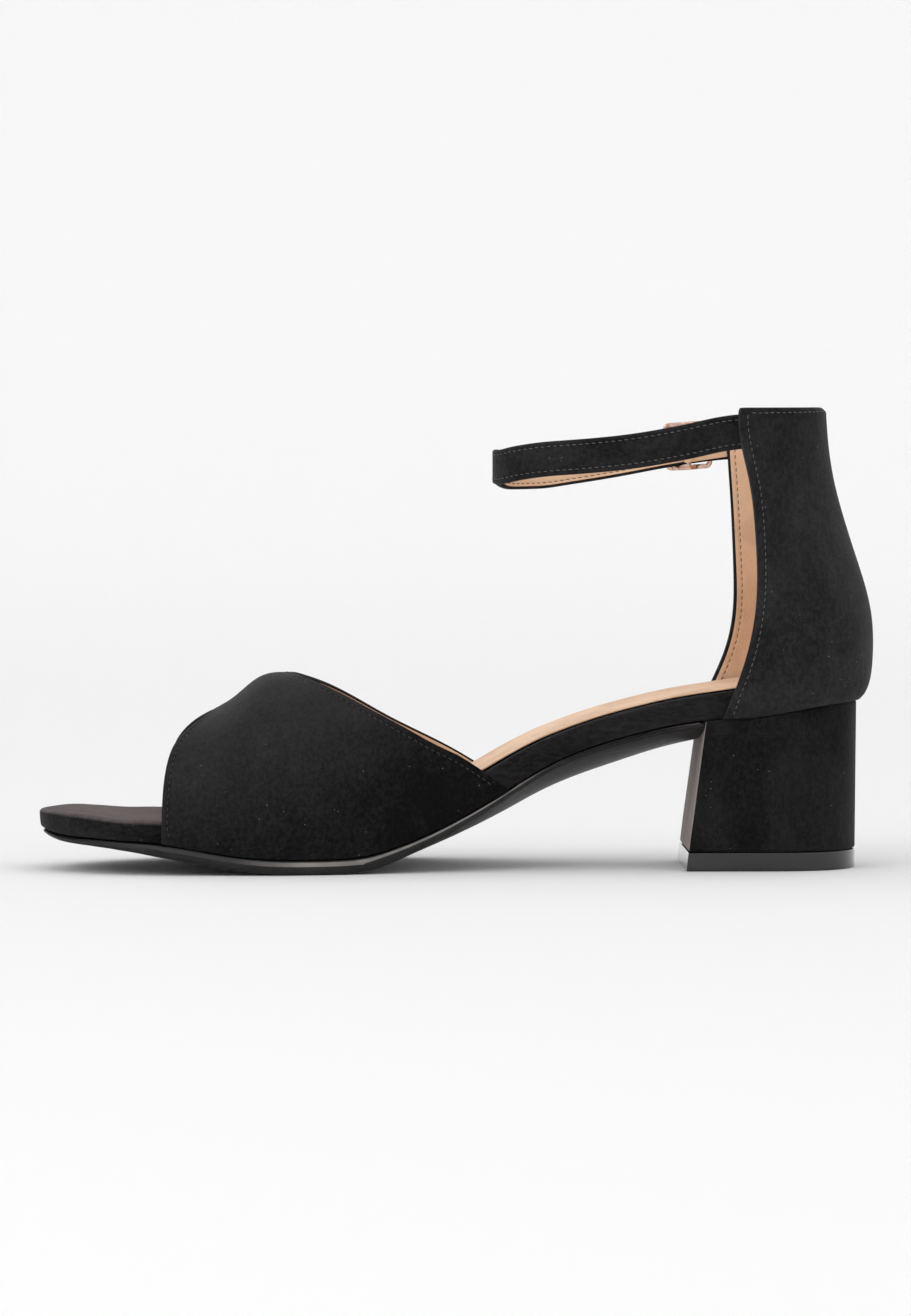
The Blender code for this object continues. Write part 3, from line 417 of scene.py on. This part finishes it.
def borderOf(piece, region):  # ordered points round one region, each with the way into it
    made = bmesh.new()
    made.from_mesh(piece.data)
    links = {}
    for line in made.edges:
        within = [face for face in line.link_faces if face.material_index == region]
        if len(within) == 1:
            for a, b in (line.verts, reversed(line.verts)):
                links.setdefault(a, []).append(b)
    loops = []
    while links:
        start = next(iter(links))
        loop, spot, before = [], start, None
        while spot in links:
            ways = links.pop(spot)
            loop.append(spot)
            spot = next((way for way in ways if way != before and way in links), None)
            before = loop[-1]
        loops.append(loop)
    found = []
    for loop in loops:
        points = []
        for i, spot in enumerate(loop):
            run = (loop[(i + 1) % len(loop)].co - loop[i - 1].co).normalized()
            middles = [face.calc_center_median() for face in spot.link_faces
                       if face.material_index == region]
            way = sum(middles, Vector()) / len(middles) - spot.co
            points.append((spot.co.copy(), (way - run * way.dot(run)).normalized()))
        found.append(points)
    made.free()
    return found


seamLook = {"shortest": 8, "smooth": 3, "pitch": 0.4 * mm, "reach": 5 * mm}


def seamRows(piece, region, inset, *tests):  # a row inside each stretch of border that passes a test
    rows = []
    for loop in borderOf(piece, region):
        for test in tests:
            passes = [test(way) for _, way in loop]
            if not any(passes):
                continue
            first = next((i for i, ok in enumerate(passes) if not ok), 0)
            run = []
            for i in list(range(first, len(loop))) + list(range(first)) + [first]:
                if passes[i]:
                    run.append(loop[i])
                elif run:
                    rows.append(run)
                    run = []
            if run:
                rows.append(run)
    laid, near = [], seamLook["smooth"]
    for row in rows:
        if len(row) >= seamLook["shortest"]:
            ways = [way for _, way in row]
            spots = []
            for i, (spot, _) in enumerate(row):
                way = sum(ways[max(0, i - near):i + near + 1], Vector()).normalized()
                _, place, normal, _ = piece.closest_point_on_mesh(spot + way * inset)
                spots.append((place, normal, way))
            laid.append(spots)
    return laid


def walk(row, pitch, gap):  # evenly spaced places along a row, with direction and normal
    spots = [spot for spot, _, _ in row]
    lengths = [0.0]
    for a, b in zip(spots, spots[1:]):
        lengths.append(lengths[-1] + (b - a).length)
    count = int((lengths[-1] - 2 * gap) / pitch)
    k = 0
    for i in range(count + 1):
        target = gap + i * pitch
        while k < len(lengths) - 2 and lengths[k + 1] < target:
            k += 1
        span = max(lengths[k + 1] - lengths[k], 1e-9)
        share = (target - lengths[k]) / span
        spot = spots[k].lerp(spots[k + 1], share)
        normal = row[k][1].lerp(row[k + 1][1], share).normalized()
        run = (spots[min(k + 2, len(spots) - 1)] - spots[max(k - 1, 0)]).normalized()
        yield spot, run, normal, row[k][2]


threadLook = {"pitch": 1.90 * mm, "length": 1.25 * mm, "width": 0.32 * mm, "height": 0.22 * mm,
              "slant": math.radians(5), "sink": 0.02 * mm, "gap": 1.2 * mm, "sides": 6}


def stitched(name, rows, finish, slot, **changes):  # one stitch, copied along the rows
    look = {**threadLook, **changes}
    bpy.ops.object.select_all(action="DESELECT")
    bpy.ops.mesh.primitive_uv_sphere_add(segments=look["sides"], ring_count=look["sides"], radius=0.5)
    model = bpy.context.object
    bpy.ops.object.mode_set(mode="EDIT")
    bpy.ops.transform.resize(value=(look["width"], look["height"], look["length"]))
    bpy.ops.object.mode_set(mode="OBJECT")
    model.data.shade_smooth()
    copies = []
    for row in rows:
        for spot, run, normal, _ in walk(row, look["pitch"], look["gap"]):
            across = run.cross(normal).normalized()
            up = across.cross(run)
            turned = Matrix((across, up, run)).transposed().to_4x4()
            turned = turned @ Matrix.Rotation(look["slant"], 4, "Y")
            turned.translation = spot + normal * look["sink"]
            single = bpy.data.objects.new(name, model.data.copy())
            single.data.transform(turned)
            bpy.context.collection.objects.link(single)
            copies.append(single)
    bpy.data.objects.remove(model)
    for single in copies:
        single.select_set(True)
    bpy.context.view_layer.objects.active = copies[0]
    bpy.ops.object.join()
    piece = copies[0]
    piece.name = name
    piece.data.materials.append(finish)
    settle(piece, slot)


def markSeams(piece, rows):  # each point's signed distance to the nearest row
    spots = [item for row in rows for item in walk(row, seamLook["pitch"], 0.0)]
    tree = KDTree(len(spots))
    for i, item in enumerate(spots):
        tree.insert(item[0], i)
    tree.balance()
    values = []
    for point in piece.data.vertices:
        _, i, distance = tree.find(point.co)
        side = 1 if (point.co - spots[i][0]).dot(spots[i][3]) > 0 else -1
        values.append(side * min(distance, seamLook["reach"]))
    layer = piece.data.attributes.new("seam", "FLOAT", "POINT")
    layer.data.foreach_set("value", values)


def sewn(name, shell, lining, rows, liningRows, thread, finish, sink):  # an upper piece and its lining
    markSeams(shell, rows)
    markSeams(lining, liningRows)
    stitched(name + "_stitches", rows, thread, "suede")
    stitched(name + "_lining_stitches", liningRows, brownThread, "lining", sink=sink)
    thicken(lining)
    plate(shell, finish)
    plate(lining, liningLeather)


def sideOfWall(face, look):  # which side of an upright wall a face is on, seen from the wall's axis
    x, y = look["axis"]
    outwards = Vector(((face.center.x - x) * look["squash"], face.center.y - y, 0)).normalized()
    facing = face.normal.dot(outwards)
    return outside if facing > look["facing"] else inside if facing < -look["facing"] else rim


# A fold runs from one place to another on the shoe's inner side: x, z; x, z; half width, depth; in mm
def crease(piece, folds):  # soft troughs, or ridges where the depth is negative
    lines = []
    for start, end, half, depth in folds:
        ends = [piece.ray_cast(Vector((x * mm, -0.1, z * mm)), (0, 1, 0)) for x, z in (start, end)]
        if ends[0][0] and ends[1][0]:
            lines.append((ends[0][1], ends[1][1], half * mm, depth * mm))
    moves = []
    for point in piece.data.vertices:
        shift = 0.0
        for a, b, half, depth in lines:
            run = b - a
            share = min(1.0, max(0.0, (point.co - a).dot(run) / run.length_squared))
            away = (point.co - a - run * share).length / half
            if away < 3:  # farther out nothing is left of the fold
                fade = math.sin(math.pi * (0.12 + 0.76 * share))
                shift -= depth * math.exp(-away * away) * fade
        moves.append(point.normal * shift)
    for point, move in zip(piece.data.vertices, moves):
        point.co += move


# Outsole
soleLook = {"edge": 0.30 * mm, "rimLow": 0.25, "rimHigh": 0.9}  # painted reflection: the rim faces that look up and outwards are pale, for the sky seen in the glossy bevel
sole = dressed("outsole", "outsole_body", soleLook["edge"],
               regions=lambda face: inside if soleLook["rimLow"] < face.normal.z < soleLook["rimHigh"]
               else rim)
# the rim faces take the painted reflection
plate(sole, soleBlack, soleRimPaintedReflection)
settle(sole, "sole", "outsole")


# Footbed and sock
footbedLook = {
    "edge": 0.45 * mm,
    "folds": [
        ((-77.0, 26.0), (-74.0, 21.5), 0.55, 0.40), ((-75.0, 26.5), (-72.0, 22.5), 0.45, -0.30),
        ((-72.5, 27.5), (-70.0, 23.5), 0.55, 0.35), ((-15.5, 52.0), (-20.5, 46.5), 0.60, 0.45),
        ((-18.5, 52.0), (-24.5, 47.0), 0.70, -0.32), ((-22.0, 51.5), (-29.0, 46.5), 0.80, 0.32),
    ],
}
sockLook = {"edge": 0.22 * mm}
footbed = dressed("footbed", "footbed_wrap", footbedLook["edge"])
crease(footbed, footbedLook["folds"])
plate(footbed, footbedSuede)
settle(footbed, "suede", "footbed")

sock = dressed("insole_sock", "insole_cover", sockLook["edge"])
plate(sock, sockLeather)
settle(sock, "lining", "insole_sock")


# Heel and its top piece
heelLook = {"edge": 0.45 * mm, "front": -0.8, "upright": 0.6, "cover": -0.72,
            "rings": {inside: (0.25 * mm, 0.7 * mm), outside: (0.25 * mm, 0.7 * mm)}}
liftLook = {"edge": 0.22 * mm}


def sideOfHeel(face):
    if face.normal.x < heelLook["front"]:
        return inside
    return outside if abs(face.normal.z) < heelLook["upright"] else rim


heel = dressed("heel_block", "heel_wrap", heelLook["edge"], regions=sideOfHeel, rings=heelLook["rings"])
for face in heel.data.polygons:
    if face.normal.x < heelLook["cover"]:  # the front is covered right down to the top piece
        face.material_index = inside
# the front face takes the lit copy of the suede, as painted sheen
plate(heel, heelSuede, breastPaintedSheen, heelSuede)
settle(heel, "suede", "heel_block")

lift = dressed("heel_lift", "heel_top_piece", liftLook["edge"], regions=sideOfHeel,
               rings=heelLook["rings"])
plate(lift, liftGloss)
settle(lift, "lift", "heel_lift")
print("sole, footbed and heel made")


# Vamp
vampLook = {"axis": (-4 * mm, 12 * mm), "facing": 0.5, "crown": 30 * mm, "bevels": (-0.25, 0.62),
            "edge": 0.26 * mm, "skive": 0.45, "lift": 0.12 * mm, "lining": 0.45 * mm,
            "rings": {outside: (0.3 * mm, 0.8 * mm), inside: (0.12 * mm, 0.7 * mm)},
            "frontInset": 1.0 * mm, "topInset": 1.3 * mm, "liningInset": 1.3 * mm, "sink": 0.14 * mm}


def sideOfVamp(face):
    y, z = vampLook["axis"]
    outwards = Vector((0, face.center.y - y, face.center.z - z)).normalized()
    facing = face.normal.dot(outwards)
    back, front = vampLook["bevels"]
    bevel = face.center.z > vampLook["crown"] and not back < face.normal.x < front
    if facing > vampLook["facing"]:
        return outside
    return inside if facing < -vampLook["facing"] and not bevel else rim


# Each of these tests takes the way from a border into its piece
def alongFront(way):
    return way.x > 0.6


def alongTopline(way):
    return way.x < -0.15 and way.z < 0.3


vamp = dressed("vamp", "vamp_suede", vampLook["edge"], regions=sideOfVamp, rings=vampLook["rings"],
               skive=vampLook["skive"])
vampLining = skinOf(vamp, "vamp_lining", inside, vampLook["lift"], vampLook["lining"])
vampRows = (seamRows(vamp, outside, vampLook["frontInset"], alongFront)
            + seamRows(vamp, outside, vampLook["topInset"], alongTopline))
liningRows = seamRows(vampLining, outside, vampLook["liningInset"], alongFront, alongTopline)
sewn("vamp", vamp, vampLining, vampRows, liningRows, darkThread, vampSuede, vampLook["sink"])
settle(vamp, "suede", "vamp")
settle(vampLining, "lining")
print("vamp made")


# Quarter
quarterLook = {
    "axis": (-6 * mm, 0.0), "squash": 0.35, "facing": 0.6, "edge": 0.40 * mm,
    "sharp": 42,  # the lean of the back's top isn't an edge
    "lift": 0.12 * mm, "lining": 0.45 * mm, "sink": 0.14 * mm,
    "rings": {outside: (0.3 * mm, 0.8 * mm), inside: (0.45 * mm, 0.8 * mm)},
    "frontInset": 1.6 * mm, "topInset": 0.8 * mm, "liningInset": 1.5 * mm,
    "folds": [
        ((-12.5, 56.0), (-17.5, 47.5), 0.60, 0.45), ((-10.5, 56.5), (-15.0, 47.5), 0.50, -0.32),
        ((-8.5, 56.0), (-12.0, 47.5), 0.65, 0.38), ((-5.0, 54.0), (-6.0, 47.5), 0.80, -0.22),
    ],
}


def alongTop(way):
    return way.z < -0.65


quarter = dressed("quarter", "quarter_suede", quarterLook["edge"],
                  regions=lambda face: sideOfWall(face, quarterLook),
                  rings=quarterLook["rings"], sharp=quarterLook["sharp"])
crease(quarter, quarterLook["folds"])
quarterLining = skinOf(quarter, "quarter_lining", inside, quarterLook["lift"], quarterLook["lining"])
quarterRows = (seamRows(quarter, outside, quarterLook["frontInset"], alongFront)
               + seamRows(quarter, outside, quarterLook["topInset"], alongTop))
liningRows = seamRows(quarterLining, outside, quarterLook["liningInset"], alongFront, alongTop)
sewn("quarter", quarter, quarterLining, quarterRows, liningRows, greyThread, quarterSuede,
     quarterLook["sink"])
settle(quarter, "suede", "quarter")
settle(quarterLining, "lining")
print("quarter made")


# Buckle, modelled flat with x along the strap, y across it and z outwards, then laid in place
buckleLook = {"heading": math.radians(-2.67), "climb": math.radians(8.71), "rise": 0.35 * mm,
              "hang": math.radians(5.0), "lift": 0.4 * mm, "length": 14.0 * mm, "height": 14.1 * mm,
              "rail": 1.45 * mm, "thick": 1.05 * mm, "corner": 2.1 * mm, "edge": 0.24 * mm,
              "frameLevel": 2.2 * mm, "barLevel": -1.5 * mm, "dip": 1.5, "bar": 0.7 * mm,
              "cuts": 9, "cornerSteps": 7, "edgeSteps": 3, "barSides": 16,
              "sharp": math.radians(50), "smooth": math.radians(35)}


def outOfBuckle():
    heading = buckleLook["heading"]
    return Vector((-math.sin(heading), math.cos(heading), 0))


def buckleMatrix():
    low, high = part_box("buckle_frame")
    heading, climb = buckleLook["heading"], buckleLook["climb"]
    run = Vector((math.cos(heading) * math.cos(climb), math.sin(heading) * math.cos(climb),
                  math.sin(climb)))
    out = outOfBuckle()
    turned = Matrix((run, out.cross(run), out)).transposed().to_4x4()
    turned.translation = (low + high) / 2 - out * buckleLook["rise"]
    return turned


# Ankle strap
strapLook = {"axis": (-26 * mm, 0.0), "squash": 0.35, "facing": 0.75, "edge": 0.14 * mm,
             "lift": 0.10 * mm, "lining": 0.35 * mm,
             "rings": {outside: (0.3 * mm, 0.6 * mm), inside: (0.2 * mm, 0.6 * mm)},
             "inset": 0.5 * mm, "liningInset": 0.8 * mm, "sink": 0.12 * mm,
             "holes": 5, "hole": 0.85 * mm, "holeGap": 6 * mm, "holeSides": 20, "cut": 6 * mm,
             "pin": -1.1 * mm, "slot": 4.5 * mm, "slotHalf": 1.6 * mm}


def alongUpper(way):
    return way.z < -0.8


def alongLower(way):
    return way.z > 0.8


def mendedStrap(piece):  # closes the solid's own pin opening, which round holes replace
    spot = buckleMatrix().inverted()
    focus(piece)
    bpy.ops.object.mode_set(mode="EDIT")

    def nearOpening(v):
        place = spot @ v.co
        return abs(place.x) < strapLook["slot"] and abs(place.y) < strapLook["slotHalf"]
    choose(piece, "verts", nearOpening)
    bpy.ops.mesh.delete(type="VERT")
    for side in (1, -1):
        def along(line):
            a, b = (spot @ v.co for v in line.verts)
            return (line.is_boundary and abs(a.x - b.x) > 2 * abs(a.y - b.y)
                    and side * line.verts[0].normal.dot(outOfBuckle()) > 0)
        choose(piece, "edges", along)
        bpy.ops.mesh.bridge_edge_loops()
    bpy.ops.object.mode_set(mode="OBJECT")


def punched(piece):  # round holes along the strap; the pin goes through the middle one
    look, frameSpot = strapLook, buckleMatrix()
    cutters = []
    for i in range(look["holes"]):
        along = look["pin"] + (i - look["holes"] // 2) * look["holeGap"]
        _, place, normal, _ = strap.closest_point_on_mesh(frameSpot @ Vector((along, 0, 0)))
        bpy.ops.mesh.primitive_cylinder_add(vertices=look["holeSides"], radius=look["hole"],
                                            depth=look["cut"], location=place,
                                            rotation=normal.to_track_quat("Z", "Y").to_euler())
        cutters.append(bpy.context.object)
    for cutter in cutters:
        cutter.select_set(True)
    bpy.ops.object.join()
    cutter = bpy.context.object
    focus(piece)
    applied(piece, "BOOLEAN", operation="DIFFERENCE", solver="EXACT", object=cutter)
    bpy.data.objects.remove(cutter)


strap = dressed("ankle_strap", "ankle_strap_suede", strapLook["edge"],
                regions=lambda face: sideOfWall(face, strapLook), rings=strapLook["rings"],
                mend=mendedStrap)
strapLining = skinOf(strap, "ankle_strap_lining", inside, strapLook["lift"], strapLook["lining"])
strapRows = seamRows(strap, outside, strapLook["inset"], alongUpper, alongLower)
liningRows = seamRows(strapLining, outside, strapLook["liningInset"], alongUpper, alongLower)
sewn("ankle_strap", strap, strapLining, strapRows, liningRows, greyThread, strapSuede,
     strapLook["sink"])
for piece in (strap, strapLining):
    punched(piece)
settle(strap, "suede", "ankle_strap")
settle(strapLining, "lining")
print("ankle strap made")


def buckleArch(x):  # the rails dip towards the bar
    look = buckleLook
    straight = min(1.0, abs(x) / (look["length"] / 2 - look["corner"]))
    dip = (1 - straight ** 2) ** look["dip"]
    return look["frameLevel"] + (look["barLevel"] - look["frameLevel"]) * dip


def buckleFrame():
    look = buckleLook
    bpy.ops.object.select_all(action="DESELECT")
    bpy.ops.mesh.primitive_plane_add(size=1)
    piece = bpy.context.object
    piece.name = "buckle_rails"
    bpy.ops.object.mode_set(mode="EDIT")
    bpy.ops.transform.resize(value=(look["length"], look["height"], 1))
    bpy.ops.mesh.select_all(action="SELECT")
    bpy.ops.mesh.bevel(offset=look["corner"], segments=look["cornerSteps"], affect="VERTICES")
    choose(piece, "faces", lambda face: True)
    bpy.ops.mesh.inset(thickness=look["rail"], use_even_offset=True)
    bpy.ops.mesh.delete(type="ONLY_FACE")
    reach = look["length"] / 2 - look["corner"]
    for i in range(look["cuts"]):
        x = reach * (2 * (i + 0.5) / look["cuts"] - 1)
        bpy.ops.mesh.select_all(action="SELECT")
        bpy.ops.mesh.bisect(plane_co=(x, 0, 0), plane_no=(1, 0, 0))
    bpy.ops.object.mode_set(mode="OBJECT")
    for point in piece.data.vertices:
        point.co.z = buckleArch(point.co.x)
    applied(piece, "SOLIDIFY", thickness=look["thick"], offset=0)
    bpy.ops.mesh.primitive_cylinder_add(vertices=look["barSides"], radius=look["bar"],
                                        depth=look["height"] - look["rail"],
                                        location=(0, 0, look["barLevel"]),
                                        rotation=(math.pi / 2, 0, 0))
    piece.select_set(True)
    bpy.context.view_layer.objects.active = piece
    bpy.ops.object.join()
    applied(piece, "BEVEL", width=look["edge"], segments=look["edgeSteps"], limit_method="ANGLE",
            angle_limit=look["sharp"], use_clamp_overlap=False)
    hung = Matrix.Translation((0, -look["lift"], 0)) @ Matrix.Rotation(look["hang"], 4, "Z")
    piece.data.transform(buckleMatrix() @ hung)
    bpy.ops.object.mode_set(mode="EDIT")
    bpy.ops.mesh.select_all(action="SELECT")
    bpy.ops.mesh.normals_make_consistent(inside=False)
    bpy.ops.object.mode_set(mode="OBJECT")
    piece.data.shade_smooth()
    bpy.ops.object.shade_smooth_by_angle(angle=look["smooth"])
    piece.data.materials.append(roseGold)
    settle(piece, "buckle", "buckle_frame")


buckleFrame()

prongLook = {"edge": 0.05 * mm, "levels": 1, "sharp": 60}
prong = dressed("buckle_prong", "buckle_pin", prongLook["edge"], prongLook["levels"],
                sharp=prongLook["sharp"])
plate(prong, roseGold)
settle(prong, "buckle", "buckle_prong")

tabLook = {"edge": 0.12 * mm, "facing": 0.6, "lift": 0.06 * mm, "suede": 0.25 * mm}
tab = dressed("buckle_tab", "buckle_tab_leather", tabLook["edge"],
              regions=lambda face: outside if face.normal.y > tabLook["facing"] else rim)
tabSuede = skinOf(tab, "buckle_tab_suede", outside, tabLook["lift"], tabLook["suede"])
thicken(tabSuede)
plate(tab, sockLeather)
plate(tabSuede, strapSuede)
settle(tab, "lining", "buckle_tab")
settle(tabSuede, "suede")
print("buckle made")


# Floor, backdrop, light and camera
stageLook = {"radius": 4.6, "height": 3.4, "bend": 2.2, "near": (0.82, 0.82, 0.82),
             "far": (0.95, 0.95, 0.95), "fade": 3.4, "sides": 96, "bendSteps": 24, "air": 1.03}


def studio():
    look = stageLook
    bpy.ops.object.select_all(action="DESELECT")
    bpy.ops.mesh.primitive_circle_add(vertices=look["sides"], radius=look["radius"], fill_type="NGON")
    floor = bpy.context.object
    floor.name = "studio_floor"
    bpy.ops.object.mode_set(mode="EDIT")
    choose(floor, "edges", lambda line: True)
    bpy.ops.mesh.extrude_region_move(TRANSFORM_OT_translate={"value": (0, 0, look["height"])})
    choose(floor, "faces", lambda face: face.normal.z > 0.5 and face.calc_center_median().z > 1)
    bpy.ops.mesh.delete(type="FACE")
    choose(floor, "edges", lambda line: all(v.co.z < 0.01 for v in line.verts))
    bpy.ops.mesh.bevel(offset=look["bend"], segments=look["bendSteps"], affect="EDGES")
    bpy.ops.object.mode_set(mode="OBJECT")
    floor.data.shade_smooth()
    paper = Finish("studioPaper", rough=0.9, gloss=0.1)
    spot = paper.place((1 / look["fade"],) * 3)
    middle = paper.node("TexGradient", {"gradient_type": "SPHERICAL"}, {"Vector": spot}, output=1)
    paper.feed(paper.shader.inputs["Base Color"],
               paper.blendColour(middle.spread(0.0, 1.0), look["far"], look["near"]))
    floor.data.materials.append(paper.material)


lights = {
    "overhead": dict(place=(-0.3, -0.3, 1.8), aim=(-0.09, 0, 0.05), size=1.8, power=2.5),
    "key": dict(place=(-1.3, -1.4, 1.1), aim=(-0.09, 0, 0.06), size=1.0, power=6.5),
    "fill": dict(place=(1.4, -1.3, 0.7), aim=(-0.05, 0, 0.06), size=1.0, power=1.5),
}

world = bpy.data.worlds.new("studioAir")
world.use_nodes = True
air = world.node_tree.nodes["Background"]
air.inputs["Color"].default_value = (1, 1, 1, 1)
air.inputs["Strength"].default_value = stageLook["air"]
bpy.context.scene.world = world
bpy.context.scene.view_settings.view_transform = "Standard"
studio()
for name, look in lights.items():
    aim = Vector(look["aim"]) - Vector(look["place"])
    bpy.ops.object.light_add(type="AREA", location=look["place"],
                             rotation=aim.to_track_quat("-Z", "Y").to_euler())
    lamp = bpy.context.object
    lamp.name = name + "_light"
    lamp.data.size = look["size"]
    lamp.data.energy = look["power"]

cameraLook = {"aim": (-0.09085, 0, 0.0605), "distance": 2.0, "yaw": math.radians(1.33),
              "elevation": math.radians(2.37), "lens": 188.65, "sensor": 36}
yaw, elevation = cameraLook["yaw"], cameraLook["elevation"]
forward = Vector((math.sin(yaw) * math.cos(elevation), math.cos(yaw) * math.cos(elevation),
                  -math.sin(elevation)))
bpy.ops.object.camera_add(location=Vector(cameraLook["aim"]) - forward * cameraLook["distance"],
                          rotation=forward.to_track_quat("-Z", "Y").to_euler())
camera = bpy.context.object
camera.data.lens = cameraLook["lens"]
camera.data.sensor_width = cameraLook["sensor"]
bpy.context.scene.camera = camera
print("studio made")
